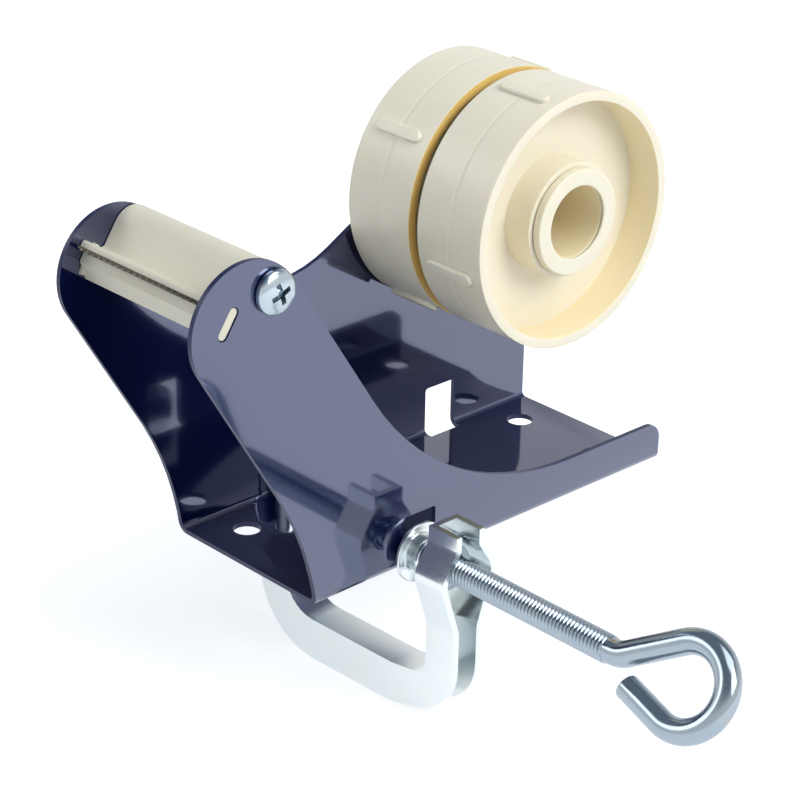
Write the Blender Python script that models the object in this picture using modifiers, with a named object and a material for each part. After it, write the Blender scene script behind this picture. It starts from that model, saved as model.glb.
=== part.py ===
"""Clamp-on tape dispenser: a folded steel channel with a cutter between its noses, a hub in two halves
on a spindle, and a C clamp whose pin stands in the channel's floor.

Metres, +Z up. The origin is the centre of the floor's underside. X runs from the cutter to the rear,
Y from the side plate beside the clamp screw (the near plate) to the plate that carries the spindle.
"""

import math

import bmesh
import bpy
from mathutils import Matrix, Vector

# Frame: one folded sheet
sheet = 0.0015
bend_outer = 0.003
floor_length = 0.1346
frame_width = 0.058
nose_x = -0.0909
nose_z = 0.0875
nose_radius = 0.0178
front_knee_x = -0.0804
front_knee_z = 0.0364
front_sag = 0.0019
far_nose_x = -0.0886
far_nose_z = 0.0853
far_knee_x = -0.0796
near_valley_x = 0.0290
near_valley_z = 0.1048
near_valley_radius = 0.0920
near_slope_end_x = -0.0480
near_slope_end_z = 0.0544
near_rail_top = 0.0128
rear_corner = 0.005
far_valley_corner_x = -0.044
far_valley_corner_z = 0.0537
far_valley_radius = 0.040
far_lug_radius = 0.009
far_rear_corner_z = 0.024
far_rear_corner = 0.008
window_width = 0.012
window_top = 0.016
window_into_floor = 0.0045
window_corner = 0.001
near_window_x = -0.0303
far_window_x = 0.0316
floor_hole_radius = 0.004
floor_hole_x = 0.0542
floor_hole_y = 0.0155
pin_hole_radius = 0.0034
screw_clear_radius = 0.0024

# Cutter holder and blade: along is measured from the boss down the front, out square to it
boss_x = -0.0826
boss_z = 0.0953
boss_radius = 0.0065
along_x = -0.55
along_z = -0.835
fit = 0.0003
valley_along = 0.0073
lip_top_along = 0.0081
lip_under_along = 0.0100
lip_out = 0.0139
lip_edge = 0.0008
blade_slot_end_along = 0.0111
blade_slot_root = 0.0054
flap_top_out = 0.0121
flap_knee_along = 0.0137
flap_knee_out = 0.0118
flap_low_along = 0.0172
flap_low_out = 0.0077
flap_thickness = 0.0025
back_along = 0.0120
back_out = 0.0020
back_boss_angle = math.radians(-20.0)
tab_along = 0.0122
tab_out = 0.0092
tab_length = 0.0088
tab_thickness = 0.0025
tab_root = 0.0005
blade_thickness = 0.0005
blade_root_out = 0.0058
blade_tip_out = 0.0158
tooth_depth = 0.0013
tooth_count = 43
holder_screw_head_radius = 0.0060
holder_screw_head_height = 0.0032
holder_screw_rim_height = 0.0014
holder_screw_shank_radius = 0.0018
holder_screw_length = 0.0125
recess_length = 0.0058
recess_width = 0.0011
recess_depth = 0.0015

# Hub and spindle
hub_x = 0.0291
hub_z = 0.0848
drum_radius = 0.0369
drum_wall = 0.0028
half_width = 0.0243
web_thickness = 0.0025
sleeve_radius = 0.0165
sleeve_outer_end = 0.0104
sleeve_inner_end = 0.0138
hub_bore_radius = 0.0133
hub_fillet = 0.0012
rib_count = 4
rib_length = 0.0173
rib_width = 0.0035
rib_rise = 0.0013
rib_sink = 0.0011
near_rib_angle = math.radians(104.5)
far_rib_angle = math.radians(143.0)
spindle_radius = 0.0130
spindle_bore_radius = 0.0105
spindle_neck_radius = 0.0120
spindle_flange_radius = 0.01525
spindle_flange_length = 0.0028
spindle_floor_length = 0.0072
spindle_hole_depth = 0.0060
sleeve_gap = 0.00035
cap_length = 0.0025
cap_face_length = 0.0009
cap_seat_radius = 0.0123
spindle_far_y = frame_width / 2.0 - sheet - fit
spindle_flange_y = spindle_far_y - spindle_flange_length
spindle_floor_y = spindle_far_y - spindle_floor_length
far_half_y = spindle_flange_y - sleeve_gap - sleeve_outer_end
near_half_y = far_half_y - 2.0 * sleeve_inner_end - fit
cap_far_y = near_half_y - sleeve_outer_end - sleeve_gap
cap_near_y = cap_far_y - cap_length
cap_seat_y = cap_near_y + cap_face_length
spindle_near_y = cap_seat_y + fit
spindle_neck_y = cap_far_y + fit

# Clamp: the C turns on the pin, and its pad is seated on the near plate over the window
clamp_x = -0.0319
pin_x = -0.0327
pin_y = 0.0236
screw_z = 0.0053
pin_radius = 0.0031
pin_chamfer = 0.0007
pin_top = 0.0125
pin_tail_radius = 0.0015
pin_tail_head_radius = 0.0020
pin_tail_head_height = 0.0014
bow_width = 0.0104
bow_sheet = 0.0019
bow_near_outer = -0.0505
bow_near_inner = -0.0397
bow_far_inner = 0.0193
bow_far_outer = 0.0303
bow_near_corner_z = -0.0353
bow_knee_y = -0.0262
bow_knee_z = -0.0425
bow_low_z = -0.0438
bow_near_inner_corner_z = -0.0278
bow_knee_inner_z = -0.0299
bow_inner_z = -0.0308
bow_near_bend = 0.0166
bow_knee_bend = 0.0415
bow_far_bend = 0.0228
bow_near_inner_bend = 0.0057
bow_far_inner_bend = 0.0119
bow_top = -0.0003
eye_low_z = -0.0110
eye_mid_z = 0.0056
eye_high_z = 0.0139
eye_top_z = 0.0184
eye_half_width = 0.0107
eye_top_half_width = 0.0052
eye_bend = 0.0062
crown_bend = 0.0021
nut_hole_radius = 0.0055
nut_radius = 0.0052
nut_flange_radius = 0.0065
nut_bore_radius = 0.0043
nut_outer_y = -0.0440
nut_shoulder_y = -0.0420
nut_inner_y = -0.0391
rod_radius = 0.0040
shank_radius = 0.0036
rod_inner_y = -0.0382
rod_thread_end_y = -0.1019
shank_bend_y = -0.1031
shank_bend_radius = 0.0083
loop_angle = math.radians(57.0)
loop_out = 0.0009
loop_y = -0.1280
loop_radius = 0.0115
loop_tail = math.radians(16.0)
loop_tail_length = 0.0143
ball_y = -0.0343
ball_radius = 0.0034
ball_neck_radius = 0.0021
ball_neck_y = -0.0379
pad_face_y = -0.0293
pad_rim_y = -0.0321
pad_radius = 0.0088
pad_flat_radius = 0.0058
pad_sheet = 0.00125
pad_hub_radius = 0.0054
pad_hub_bore_radius = 0.00395
pad_hub_y = -0.0360

round_steps = 40
small_round_steps = 24
arc_steps = 10
overlap = 0.010

parts = None
guides = None


def clear_scene():
    for item in list(bpy.data.objects):
        bpy.data.objects.remove(item, do_unlink=True)


def make_collections():
    global parts, guides
    parts = bpy.data.collections.new("clamp_on_tape_dispenser")
    guides = bpy.data.collections.new("cutters")
    bpy.context.scene.collection.children.link(parts)
    bpy.context.scene.collection.children.link(guides)


def material(name, colour, roughness, metallic):
    made = bpy.data.materials.new(name)
    made.use_nodes = True
    shader = made.node_tree.nodes["Principled BSDF"]
    shader.inputs["Base Color"].default_value = (*colour, 1.0)
    shader.inputs["Roughness"].default_value = roughness
    shader.inputs["Metallic"].default_value = metallic
    made.diffuse_color = (*colour, 1.0)
    return made


def placing(across, up, origin=(0.0, 0.0, 0.0)):
    """Matrix whose local X runs along across, local Y along up, at an origin."""
    first = Vector(across).normalized()
    second = Vector(up).normalized()
    third = first.cross(second)
    turned = Matrix((first, second, third)).transposed().to_4x4()
    turned.translation = Vector(origin)
    return turned


def arc(centre, radius, start, end, steps=arc_steps):
    angles = [start + (end - start) * step / steps for step in range(steps + 1)]
    return [(centre[0] + radius * math.cos(a), centre[1] + radius * math.sin(a)) for a in angles]


def rounded(corners, steps=arc_steps):
    """Outline through corners (across, up, radius), each corner filleted with its radius."""
    outline = []
    for index, (across, up, radius) in enumerate(corners):
        here = Vector((across, up))
        if not radius:
            outline.append((across, up))
            continue
        before = (Vector(corners[index - 1][:2]) - here).normalized()
        after = (Vector(corners[(index + 1) % len(corners)][:2]) - here).normalized()
        half = before.angle(after) / 2.0
        middle = here + (before + after).normalized() * (radius / math.sin(half))
        start = here + before * (radius / math.tan(half)) - middle
        end = here + after * (radius / math.tan(half)) - middle
        turn = math.atan2(start.x * end.y - start.y * end.x, start.dot(end))
        first = math.atan2(start.y, start.x)
        outline += arc(middle, radius, first, first + turn, steps)
    return outline


def tangent_angle(point, centre, radius, side):
    """Angle on a circle where a line from the point touches it."""
    away = Vector(point) - Vector(centre)
    return math.atan2(away.y, away.x) + side * math.acos(radius / away.length)


def bowed(start, end, sag, steps=arc_steps):
    """Shallow arc from start to end whose middle stands sag to the left of the chord."""
    first, last = Vector(start), Vector(end)
    chord = last - first
    square = Vector((-chord.y, chord.x)).normalized()
    shares = [step / steps for step in range(1, steps)]
    return [tuple(first + chord * s + square * (4.0 * sag * s * (1.0 - s))) for s in shares]


def finish(item, name, look=None, holder=None):
    item.name = name
    item.data.name = name
    for owner in list(item.users_collection):
        owner.objects.unlink(item)
    (holder or parts).objects.link(item)
    if look:
        item.data.materials.clear()
        item.data.materials.append(look)
    return item


def hide(item):
    item.hide_render = True
    item.display_type = "WIRE"
    return item


def curve_to_mesh(item, name):
    bpy.context.view_layer.update()
    evaluated = item.evaluated_get(bpy.context.evaluated_depsgraph_get())
    data = bpy.data.meshes.new_from_object(evaluated)
    cage = bmesh.new()
    cage.from_mesh(data)
    bmesh.ops.remove_doubles(cage, verts=cage.verts, dist=0.000001)
    bmesh.ops.recalc_face_normals(cage, faces=cage.faces)
    cage.to_mesh(data)
    cage.free()
    made = bpy.data.objects.new(name, data)
    made.matrix_world = item.matrix_world.copy()
    bpy.context.scene.collection.objects.link(made)
    bpy.data.objects.remove(item, do_unlink=True)
    return made


def flat(name, outline, low, high, where, look=None, holder=None):
    """A flat outline filled and given thickness from low to high along the placing's third axis."""
    shape = bpy.data.curves.new(name, "CURVE")
    shape.dimensions = "2D"
    shape.fill_mode = "BOTH"
    shape.extrude = (high - low) / 2.0
    line = shape.splines.new("POLY")
    line.points.add(len(outline) - 1)
    for point, (across, up) in zip(line.points, outline):
        point.co = (across, up, 0.0, 1.0)
    line.use_cyclic_u = True
    item = bpy.data.objects.new(name + "_curve", shape)
    bpy.context.scene.collection.objects.link(item)
    item.matrix_world = where @ Matrix.Translation((0.0, 0.0, (low + high) / 2.0))
    return finish(curve_to_mesh(item, name), name, look, holder)


def turned(name, profile, where, look=None, holder=None, closed=False, steps=round_steps):
    """A profile (radius, height) turned round the placing's third axis, outer side top to bottom."""
    data = bpy.data.meshes.new(name)
    count = len(profile)
    edges = [(n, n + 1) for n in range(count - 1)]
    if closed:
        edges.append((count - 1, 0))
    data.from_pydata([(radius, 0.0, height) for radius, height in profile], edges, [])
    item = bpy.data.objects.new(name, data)
    bpy.context.scene.collection.objects.link(item)
    item.matrix_world = where
    lathe = item.modifiers.new("Screw", "SCREW")
    lathe.angle = math.tau
    lathe.steps = steps
    lathe.render_steps = steps
    lathe.use_merge_vertices = True
    lathe.merge_threshold = 0.000001
    lathe.use_smooth_shade = True
    return finish(item, name, look, holder)


def boolean(item, other, operation):
    change = item.modifiers.new(operation.title(), "BOOLEAN")
    change.operation = operation
    change.solver = "EXACT"
    change.object = other
    hide(other)


def cylinder(name, radius, low, high, where, steps=small_round_steps):
    profile = [(0.0, high), (radius, high), (radius, low), (0.0, low)]
    return turned(name, profile, where, holder=guides, steps=steps)


def side_view(origin=(0.0, 0.0, 0.0)):
    """Local X to the rear, local Y up: the third axis runs to -Y."""
    return placing((1.0, 0.0, 0.0), (0.0, 0.0, 1.0), origin)


def end_view(origin=(0.0, 0.0, 0.0)):
    """Local X across the frame, local Y up: the third axis runs to the rear."""
    return placing((0.0, 1.0, 0.0), (0.0, 0.0, 1.0), origin)


def along_y(origin):
    """Third axis along +Y."""
    return placing((0.0, 0.0, 1.0), (1.0, 0.0, 0.0), origin)


def against_y(origin):
    """Third axis along -Y."""
    return placing((1.0, 0.0, 0.0), (0.0, 0.0, 1.0), origin)


# Frame


def nose_outline(centre, knee, back_point):
    """Front edge from the floor up, round the nose, to where the back edge leaves it."""
    front = -floor_length / 2.0
    start = tangent_angle(knee, centre, nose_radius, -1.0)
    end = tangent_angle(back_point, centre, nose_radius, 1.0)
    while start < end:
        start += math.tau
    outline = [(front, 0.0)] + bowed((front, 0.0), knee, -front_sag, 6) + [knee]
    return outline + arc(centre, nose_radius, start, end, 28)


def near_outline():
    centre = (near_valley_x, near_valley_z)
    slope_end = (near_slope_end_x, near_slope_end_z)
    start = math.atan2(slope_end[1] - centre[1], slope_end[0] - centre[0])
    end = math.radians(-90.0)
    rear = floor_length / 2.0
    outline = nose_outline((nose_x, nose_z), (front_knee_x, front_knee_z), slope_end)
    outline += arc(centre, near_valley_radius, start, end, 14)
    outline += arc((rear - rear_corner, near_rail_top - rear_corner), rear_corner, math.radians(90.0), 0.0, 6)
    return outline + [(rear, 0.0)]


def far_outline():
    rear = floor_length / 2.0
    corner = (far_valley_corner_x, far_valley_corner_z)
    lug = (hub_x, hub_z)
    nose = nose_outline((far_nose_x, far_nose_z), (far_knee_x, front_knee_z), corner)
    lug_start = tangent_angle(corner, lug, far_lug_radius, -1.0)
    lug_end = tangent_angle((rear, far_rear_corner_z), lug, far_lug_radius, 1.0)
    while lug_start < lug_end:
        lug_start += math.tau
    over_lug = arc(lug, far_lug_radius, lug_start, lug_end, 14)
    valley = rounded([(*nose[-1], 0.0), (*corner, far_valley_radius), (*over_lug[0], 0.0)], 12)
    back = rounded([(*over_lug[-1], 0.0), (rear, far_rear_corner_z, far_rear_corner), (rear, 0.0, 0.0)], 6)
    return nose + valley[1:-1] + over_lug + back[1:]


def channel_section():
    half = frame_width / 2.0
    top = nose_z + nose_radius + overlap
    inner = half - sheet
    inner_bend = bend_outer - sheet
    return rounded([(-half, top, 0.0), (-half, 0.0, bend_outer), (half, 0.0, bend_outer), (half, top, 0.0),
                    (inner, top, 0.0), (inner, sheet, inner_bend), (-inner, sheet, inner_bend),
                    (-inner, top, 0.0)], 5)


def window_cutter(name, centre, side):
    half = window_width / 2.0
    outline = rounded([(centre - half, -overlap, 0.0), (centre + half, -overlap, 0.0),
                       (centre + half, window_top, window_corner),
                       (centre - half, window_top, window_corner)], 4)
    edge = side * frame_width / 2.0
    inside = edge - side * window_into_floor
    outside = edge + side * overlap
    return flat(name, outline, min(-inside, -outside), max(-inside, -outside), side_view(), holder=guides)


def tab_outline(growth):
    """The round-ended tab at the ends of the cutter holder, in the holder's own section axes."""
    half = tab_length / 2.0 + growth
    radius = tab_thickness / 2.0 + growth
    middle = half - radius
    first = arc((tab_along + middle, tab_out), radius, math.radians(-90.0), math.radians(90.0), 8)
    last = arc((tab_along - middle, tab_out), radius, math.radians(90.0), math.radians(270.0), 8)
    return first + last


def holder_view():
    """Local X down the holder's front, local Y out of it: the third axis runs to +Y."""
    along = Vector((along_x, 0.0, along_z)).normalized()
    out = Vector((along.z, 0.0, -along.x))
    return placing(along, out, (boss_x, 0.0, boss_z))


def cut_frame_holes(frame):
    half = frame_width / 2.0
    boolean(frame, window_cutter("near_window_cutter", near_window_x, -1.0), "DIFFERENCE")
    boolean(frame, window_cutter("far_window_cutter", far_window_x, 1.0), "DIFFERENCE")
    upright = placing((1.0, 0.0, 0.0), (0.0, 1.0, 0.0), (pin_x, pin_y, 0.0))
    boolean(frame, cylinder("pin_hole_cutter", pin_hole_radius, -overlap, overlap, upright), "DIFFERENCE")
    for number, (x_side, y_side) in enumerate(((-1, -1), (-1, 1), (1, -1), (1, 1))):
        place = (x_side * floor_hole_x, y_side * floor_hole_y, 0.0)
        where = placing((1.0, 0.0, 0.0), (0.0, 1.0, 0.0), place)
        cutter = cylinder(f"floor_hole_cutter_{number}", floor_hole_radius, -overlap, overlap, where)
        boolean(frame, cutter, "DIFFERENCE")
    boss = cylinder("holder_screw_hole_cutter", screw_clear_radius, -half - overlap, half + overlap,
                    along_y((boss_x, 0.0, boss_z)), 16)
    boolean(frame, boss, "DIFFERENCE")
    tab = flat("tab_slot_cutter", tab_outline(fit), -half - overlap, half + overlap, holder_view(),
               holder=guides)
    boolean(frame, tab, "DIFFERENCE")
    axle = cylinder("spindle_screw_hole_cutter", screw_clear_radius, 0.0, half + overlap,
                    along_y((hub_x, 0.0, hub_z)), 16)
    boolean(frame, axle, "DIFFERENCE")


def footed(outline):
    """A side's outline carried on below the floor, so that the floor's own underside stays as it is."""
    foot, above = outline[0], outline[1]
    share = overlap / (above[1] - foot[1])
    low = (foot[0] - (above[0] - foot[0]) * share, -overlap)
    return [low] + outline[1:-1] + [(outline[-1][0], -overlap)]


def make_frame(look):
    half = frame_width / 2.0
    front = nose_x - nose_radius - overlap
    rear = floor_length / 2.0 + overlap
    frame = flat("frame", channel_section(), front, rear, end_view(), look)
    shape = flat("near_side_guide", footed(near_outline()), 0.0, half + overlap, side_view(), holder=guides)
    far = flat("far_side_guide", footed(far_outline()), -half - overlap, sheet, side_view(), holder=guides)
    boolean(shape, far, "UNION")
    boolean(frame, shape, "INTERSECT")
    cut_frame_holes(frame)
    return frame


# Cutter holder


def holder_section():
    start = math.atan2(boss_radius, 0.0)
    outline = [(valley_along, boss_radius), (lip_top_along, boss_radius + lip_edge)]
    outline += rounded([(lip_top_along, boss_radius + lip_edge, 0.0), (lip_top_along, lip_out, lip_edge),
                        (lip_under_along, lip_out, 0.0)], 4)[1:]
    outline += [(lip_under_along, blade_slot_root), (blade_slot_end_along, blade_slot_root),
                (blade_slot_end_along, flap_top_out), (flap_knee_along, flap_knee_out),
                (flap_low_along, flap_low_out), (flap_low_along, flap_low_out - flap_thickness),
                (back_along, back_out)]
    return outline + arc((0.0, 0.0), boss_radius, back_boss_angle, start - math.tau, 20)


def make_cutter_holder(look):
    half = frame_width / 2.0 - sheet - fit
    through = frame_width / 2.0 - fit
    holder = flat("cutter_holder", holder_section(), -half, half, holder_view(), look)
    for name, side in (("near", -1.0), ("far", 1.0)):
        low, high = sorted((side * (half - tab_root), side * through))
        tab = flat(f"holder_tab_guide_{name}", tab_outline(0.0), low, high, holder_view(), holder=guides)
        boolean(holder, tab, "UNION")
        low, high = sorted((side * (half - holder_screw_length), side * (half + overlap)))
        where = along_y((boss_x, 0.0, boss_z))
        cutter = cylinder(f"boss_hole_cutter_{name}", screw_clear_radius - fit / 2.0, low, high, where, 16)
        boolean(holder, cutter, "DIFFERENCE")
    return holder


def make_blade(look):
    """A toothed strip: local X across the frame, local Y out of the holder."""
    along = Vector((along_x, 0.0, along_z)).normalized()
    out = Vector((along.z, 0.0, -along.x))
    middle = (lip_under_along + blade_slot_end_along) / 2.0
    origin = Vector((boss_x, 0.0, boss_z)) + along * middle
    half = frame_width / 2.0 - sheet - tab_root - 2.0 * fit
    pitch = 2.0 * half / tooth_count
    outline = [(-half, blade_root_out), (half, blade_root_out)]
    for tooth in range(tooth_count):
        right = half - tooth * pitch
        outline.append((right, blade_tip_out - tooth_depth))
        outline.append((right - pitch / 2.0, blade_tip_out))
    outline.append((-half, blade_tip_out - tooth_depth))
    where = placing((0.0, 1.0, 0.0), out, origin)
    return flat("cutter_blade", outline, -blade_thickness / 2.0, blade_thickness / 2.0, where, look)


def make_pan_screw(name, where, look, length):
    """A domed head above zero on the placing's third axis, with its shank below."""
    rim = holder_screw_rim_height
    dome = [(holder_screw_head_radius * math.sin(math.radians(a)),
             rim + (holder_screw_head_height - rim) * math.cos(math.radians(a))) for a in range(0, 91, 15)]
    profile = dome + [(holder_screw_head_radius, 0.0), (holder_screw_shank_radius, 0.0),
                      (holder_screw_shank_radius, -length), (0.0, -length)]
    screw = turned(name, profile, where, look, steps=28)
    floor = holder_screw_head_height - recess_depth
    for number, (wide, high) in enumerate(((recess_length, recess_width), (recess_width, recess_length))):
        outline = [(-wide / 2.0, -high / 2.0), (wide / 2.0, -high / 2.0),
                   (wide / 2.0, high / 2.0), (-wide / 2.0, high / 2.0)]
        spun = where @ Matrix.Rotation(math.radians(20.0), 4, "Z")
        cutter = flat(f"{name}_recess_{number}", outline, floor, floor + overlap, spun, holder=guides)
        boolean(screw, cutter, "DIFFERENCE")
    return screw


def make_holder_screws(look):
    half = frame_width / 2.0 + fit
    length = holder_screw_length
    make_pan_screw("holder_screw_near", against_y((boss_x, -half, boss_z)), look, length)
    make_pan_screw("holder_screw_far", along_y((boss_x, half, boss_z)), look, length)


# Hub and spindle


def hub_profile():
    half = half_width / 2.0
    web = web_thickness / 2.0
    inner = drum_radius - drum_wall
    near_web = [(inner, -half), (inner, -web - hub_fillet), (inner - hub_fillet, -web),
                (sleeve_radius + hub_fillet, -web), (sleeve_radius, -web - hub_fillet)]
    far_web = [(sleeve_radius, web + hub_fillet), (sleeve_radius + hub_fillet, web),
               (inner - hub_fillet, web), (inner, web + hub_fillet)]
    return ([(drum_radius, half), (drum_radius, -half)] + near_web
            + [(sleeve_radius, -sleeve_outer_end), (hub_bore_radius, -sleeve_outer_end),
               (hub_bore_radius, sleeve_inner_end), (sleeve_radius, sleeve_inner_end)]
            + far_web + [(inner, half)])


def rib_outline():
    radius = rib_width / 2.0
    middle = rib_length / 2.0 - radius
    first = arc((middle, 0.0), radius, math.radians(-90.0), math.radians(90.0), 6)
    last = arc((-middle, 0.0), radius, math.radians(90.0), math.radians(270.0), 6)
    return first + last


def make_hub_half(name, side, first_angle, look):
    """Side is -1 for the near half: the profile's height runs towards the other half."""
    centre = Vector((hub_x, near_half_y if side < 0.0 else far_half_y, hub_z))
    where = along_y(centre) if side < 0.0 else against_y(centre)
    half = turned(name, hub_profile(), where, look, closed=True, steps=48)
    for number in range(rib_count):
        angle = first_angle + number * math.tau / rib_count
        outward = Vector((math.cos(angle), 0.0, math.sin(angle)))
        lengthwise = Vector((0.0, 1.0, 0.0))
        sideways = outward.cross(lengthwise)
        rib = flat(f"{name}_rib_{number}", rib_outline(), drum_radius - rib_sink, drum_radius + rib_rise,
                   placing(lengthwise, sideways, centre), holder=guides)
        boolean(half, rib, "UNION")
    return half


def make_spindle(look):
    profile = [(0.0, spindle_far_y), (spindle_flange_radius, spindle_far_y),
               (spindle_flange_radius, spindle_flange_y), (spindle_radius, spindle_flange_y),
               (spindle_radius, spindle_neck_y), (spindle_neck_radius, spindle_neck_y),
               (spindle_neck_radius, spindle_near_y), (spindle_bore_radius, spindle_near_y),
               (spindle_bore_radius, spindle_floor_y), (0.0, spindle_floor_y)]
    where = along_y((hub_x, 0.0, hub_z))
    spindle = turned("spindle", profile, where, look)
    hole = cylinder("spindle_hole_cutter", screw_clear_radius - fit / 2.0,
                    spindle_far_y - spindle_hole_depth, spindle_far_y + overlap, where, 16)
    boolean(spindle, hole, "DIFFERENCE")
    return spindle


def make_spindle_cap(look):
    profile = [(spindle_flange_radius, cap_far_y), (spindle_flange_radius, cap_near_y),
               (spindle_bore_radius, cap_near_y), (spindle_bore_radius, cap_seat_y),
               (cap_seat_radius, cap_seat_y), (cap_seat_radius, cap_far_y)]
    return turned("spindle_cap", profile, along_y((hub_x, 0.0, hub_z)), look, closed=True)


def make_spindle_screw(look):
    half = frame_width / 2.0 + fit
    length = half - spindle_far_y + spindle_hole_depth - fit
    make_pan_screw("spindle_screw", along_y((hub_x, half, hub_z)), look, length)


# Clamp


def make_pin(look):
    """The pin stands on the far arm's end wall, with a headed tail through it."""
    neck = pin_tail_radius
    foot = bow_top + fit
    tail_top = bow_top - bow_sheet - fit
    low = tail_top - pin_tail_head_height
    profile = [(0.0, pin_top), (pin_radius - pin_chamfer, pin_top), (pin_radius, pin_top - pin_chamfer),
               (pin_radius, foot),
               (neck, foot), (neck, tail_top), (pin_tail_head_radius, tail_top),
               (pin_tail_head_radius, low), (0.0, low)]
    where = placing((1.0, 0.0, 0.0), (0.0, 1.0, 0.0), (pin_x, pin_y, 0.0))
    return turned("clamp_pin", profile, where, look, steps=small_round_steps)


def bow_outer(growth):
    """Outer edge of the C from the eye down, along the bar and up the far arm, moved out by growth."""
    near = bow_near_outer - growth
    far = bow_far_outer + growth
    return [(near, bow_near_corner_z - growth, bow_near_bend + growth),
            (bow_knee_y, bow_knee_z - growth, bow_knee_bend),
            (far, bow_low_z - growth, bow_far_bend + growth)]


def bow_inner(growth):
    """Inner edge of the C from the far arm back to the eye, moved towards the outer edge by growth."""
    near = bow_near_inner - growth
    far = bow_far_inner + growth
    return [(far, bow_inner_z - growth, bow_far_inner_bend + growth),
            (bow_knee_y, bow_knee_inner_z - growth, 0.0),
            (near, bow_near_inner_corner_z - growth, bow_near_inner_bend + growth)]


def bow_band(outer_growth, inner_growth, near_top, far_top):
    outer = bow_outer(outer_growth)
    inner = bow_inner(inner_growth)
    return rounded([(outer[0][0], near_top, 0.0)] + outer + [(outer[-1][0], far_top, 0.0)]
                   + [(inner[0][0], far_top, 0.0)] + inner + [(inner[-1][0], near_top, 0.0)], 8)


def eye_outline(shrink, top):
    """The eye's outline seen along the screw: narrow at the arm, wide at the screw, narrow again at its top."""
    foot = bow_width / 2.0 - shrink
    wide = eye_half_width - shrink
    crown = eye_top_half_width - shrink
    low = eye_low_z - overlap
    return rounded([(-foot, low, 0.0), (foot, low, 0.0),
                    (foot, eye_low_z, eye_bend), (wide, eye_mid_z, eye_bend),
                    (crown, eye_high_z, crown_bend), (crown, top, 0.0),
                    (-crown, top, 0.0), (-crown, eye_high_z, crown_bend),
                    (-wide, eye_mid_z, eye_bend), (-foot, eye_low_z, eye_bend)], 5)


def make_bow(look):
    half = bow_width / 2.0
    hollow = half - bow_sheet
    middle = (clamp_x, 0.0, 0.0)
    bow = flat("clamp_bow", bow_band(0.0, 0.0, eye_mid_z, bow_top), -half, half, end_view(middle), look)
    eye = flat("eye_guide", eye_outline(0.0, eye_top_z), -bow_near_inner, -bow_near_outer, side_view(middle),
               holder=guides)
    boolean(bow, eye, "UNION")
    inside = flat("bow_hollow_cutter",
                  bow_band(overlap, bow_sheet, eye_mid_z, bow_top - bow_sheet),
                  -hollow, hollow, end_view(middle), holder=guides)
    boolean(bow, inside, "DIFFERENCE")
    cup = flat("eye_hollow_cutter", eye_outline(bow_sheet, eye_top_z + overlap),
               -bow_near_inner + bow_sheet, -bow_near_outer + overlap, side_view(middle), holder=guides)
    boolean(bow, cup, "DIFFERENCE")
    return cut_bow_holes(bow)


def cut_bow_holes(bow):
    low = bow_near_inner - overlap / 2.0
    nut = cylinder("nut_hole_cutter", nut_hole_radius, low, bow_near_inner + overlap,
                   along_y((clamp_x, 0.0, screw_z)), 28)
    boolean(bow, nut, "DIFFERENCE")
    upright = placing((1.0, 0.0, 0.0), (0.0, 1.0, 0.0), (pin_x, pin_y, 0.0))
    pin = cylinder("bow_pin_hole_cutter", pin_tail_radius + fit, bow_top - 2.0 * bow_sheet,
                   bow_top + overlap, upright, 16)
    boolean(bow, pin, "DIFFERENCE")
    set_origin(bow, (pin_x, pin_y, 0.0))
    return bow


def make_nut(look):
    profile = [(nut_radius, nut_inner_y), (nut_radius, nut_shoulder_y), (nut_flange_radius, nut_shoulder_y),
               (nut_flange_radius, nut_outer_y), (nut_bore_radius, nut_outer_y),
               (nut_bore_radius, nut_inner_y)]
    return turned("clamp_nut", profile, along_y((clamp_x, 0.0, screw_z)), look, closed=True, steps=28)


def loop_route():
    """The bent end as (out, y) points: off the axis, round the loop and back beside the shank."""
    bend = Vector((shank_bend_radius, shank_bend_y))
    loop = Vector((loop_out, loop_y))
    between = loop - bend
    lean = math.asin((shank_bend_radius + loop_radius) / between.length)
    heading = math.atan2(between.y, between.x) + lean
    square = Vector((math.sin(heading), -math.cos(heading)))
    start = math.atan2(square.y, square.x)
    route = arc(bend, shank_bend_radius, math.radians(180.0), start + math.tau if start < 0.0 else start, 6)
    first = math.atan2(-square.y, -square.x)
    end = math.radians(180.0) - loop_tail - math.tau
    route += arc(loop, loop_radius, first, end, 26)
    last = Vector(route[-1])
    rising = Vector((math.sin(loop_tail), math.cos(loop_tail)))
    route.append(tuple(last + rising * loop_tail_length))
    return route


def make_screw(look):
    shape = bpy.data.curves.new("clamp_screw", "CURVE")
    shape.dimensions = "3D"
    shape.bevel_depth = rod_radius
    shape.bevel_resolution = 3
    shape.use_fill_caps = True
    out_x = math.cos(loop_angle)
    out_z = math.sin(loop_angle)
    share = shank_radius / rod_radius
    stations = [(0.0, rod_inner_y, 1.0), (0.0, rod_thread_end_y, 1.0),
                (0.0, rod_thread_end_y - rod_radius / 8.0, share)]
    stations += [(out, y, share) for out, y in loop_route()]
    line = shape.splines.new("POLY")
    line.points.add(len(stations) - 1)
    for point, (out, y, radius_share) in zip(line.points, stations):
        point.co = (clamp_x + out * out_x, y, screw_z + out * out_z, 1.0)
        point.radius = radius_share
    item = bpy.data.objects.new("clamp_screw_curve", shape)
    bpy.context.scene.collection.objects.link(item)
    screw = finish(curve_to_mesh(item, "clamp_screw"), "clamp_screw", look)
    screw.data.shade_smooth()
    set_origin(screw, (clamp_x, rod_inner_y, screw_z))
    return screw


def make_ball(look):
    touch = math.asin(ball_neck_radius / ball_radius)
    count = 10
    angles = [math.pi * step / count * (1.0 - touch / math.pi) for step in range(count + 1)]
    profile = [(ball_radius * math.sin(a), ball_radius * math.cos(a)) for a in angles]
    profile += [(ball_neck_radius, ball_neck_y - ball_y), (0.0, ball_neck_y - ball_y)]
    return turned("clamp_ball", profile, along_y((clamp_x, ball_y, screw_z)), look, steps=small_round_steps)


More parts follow.
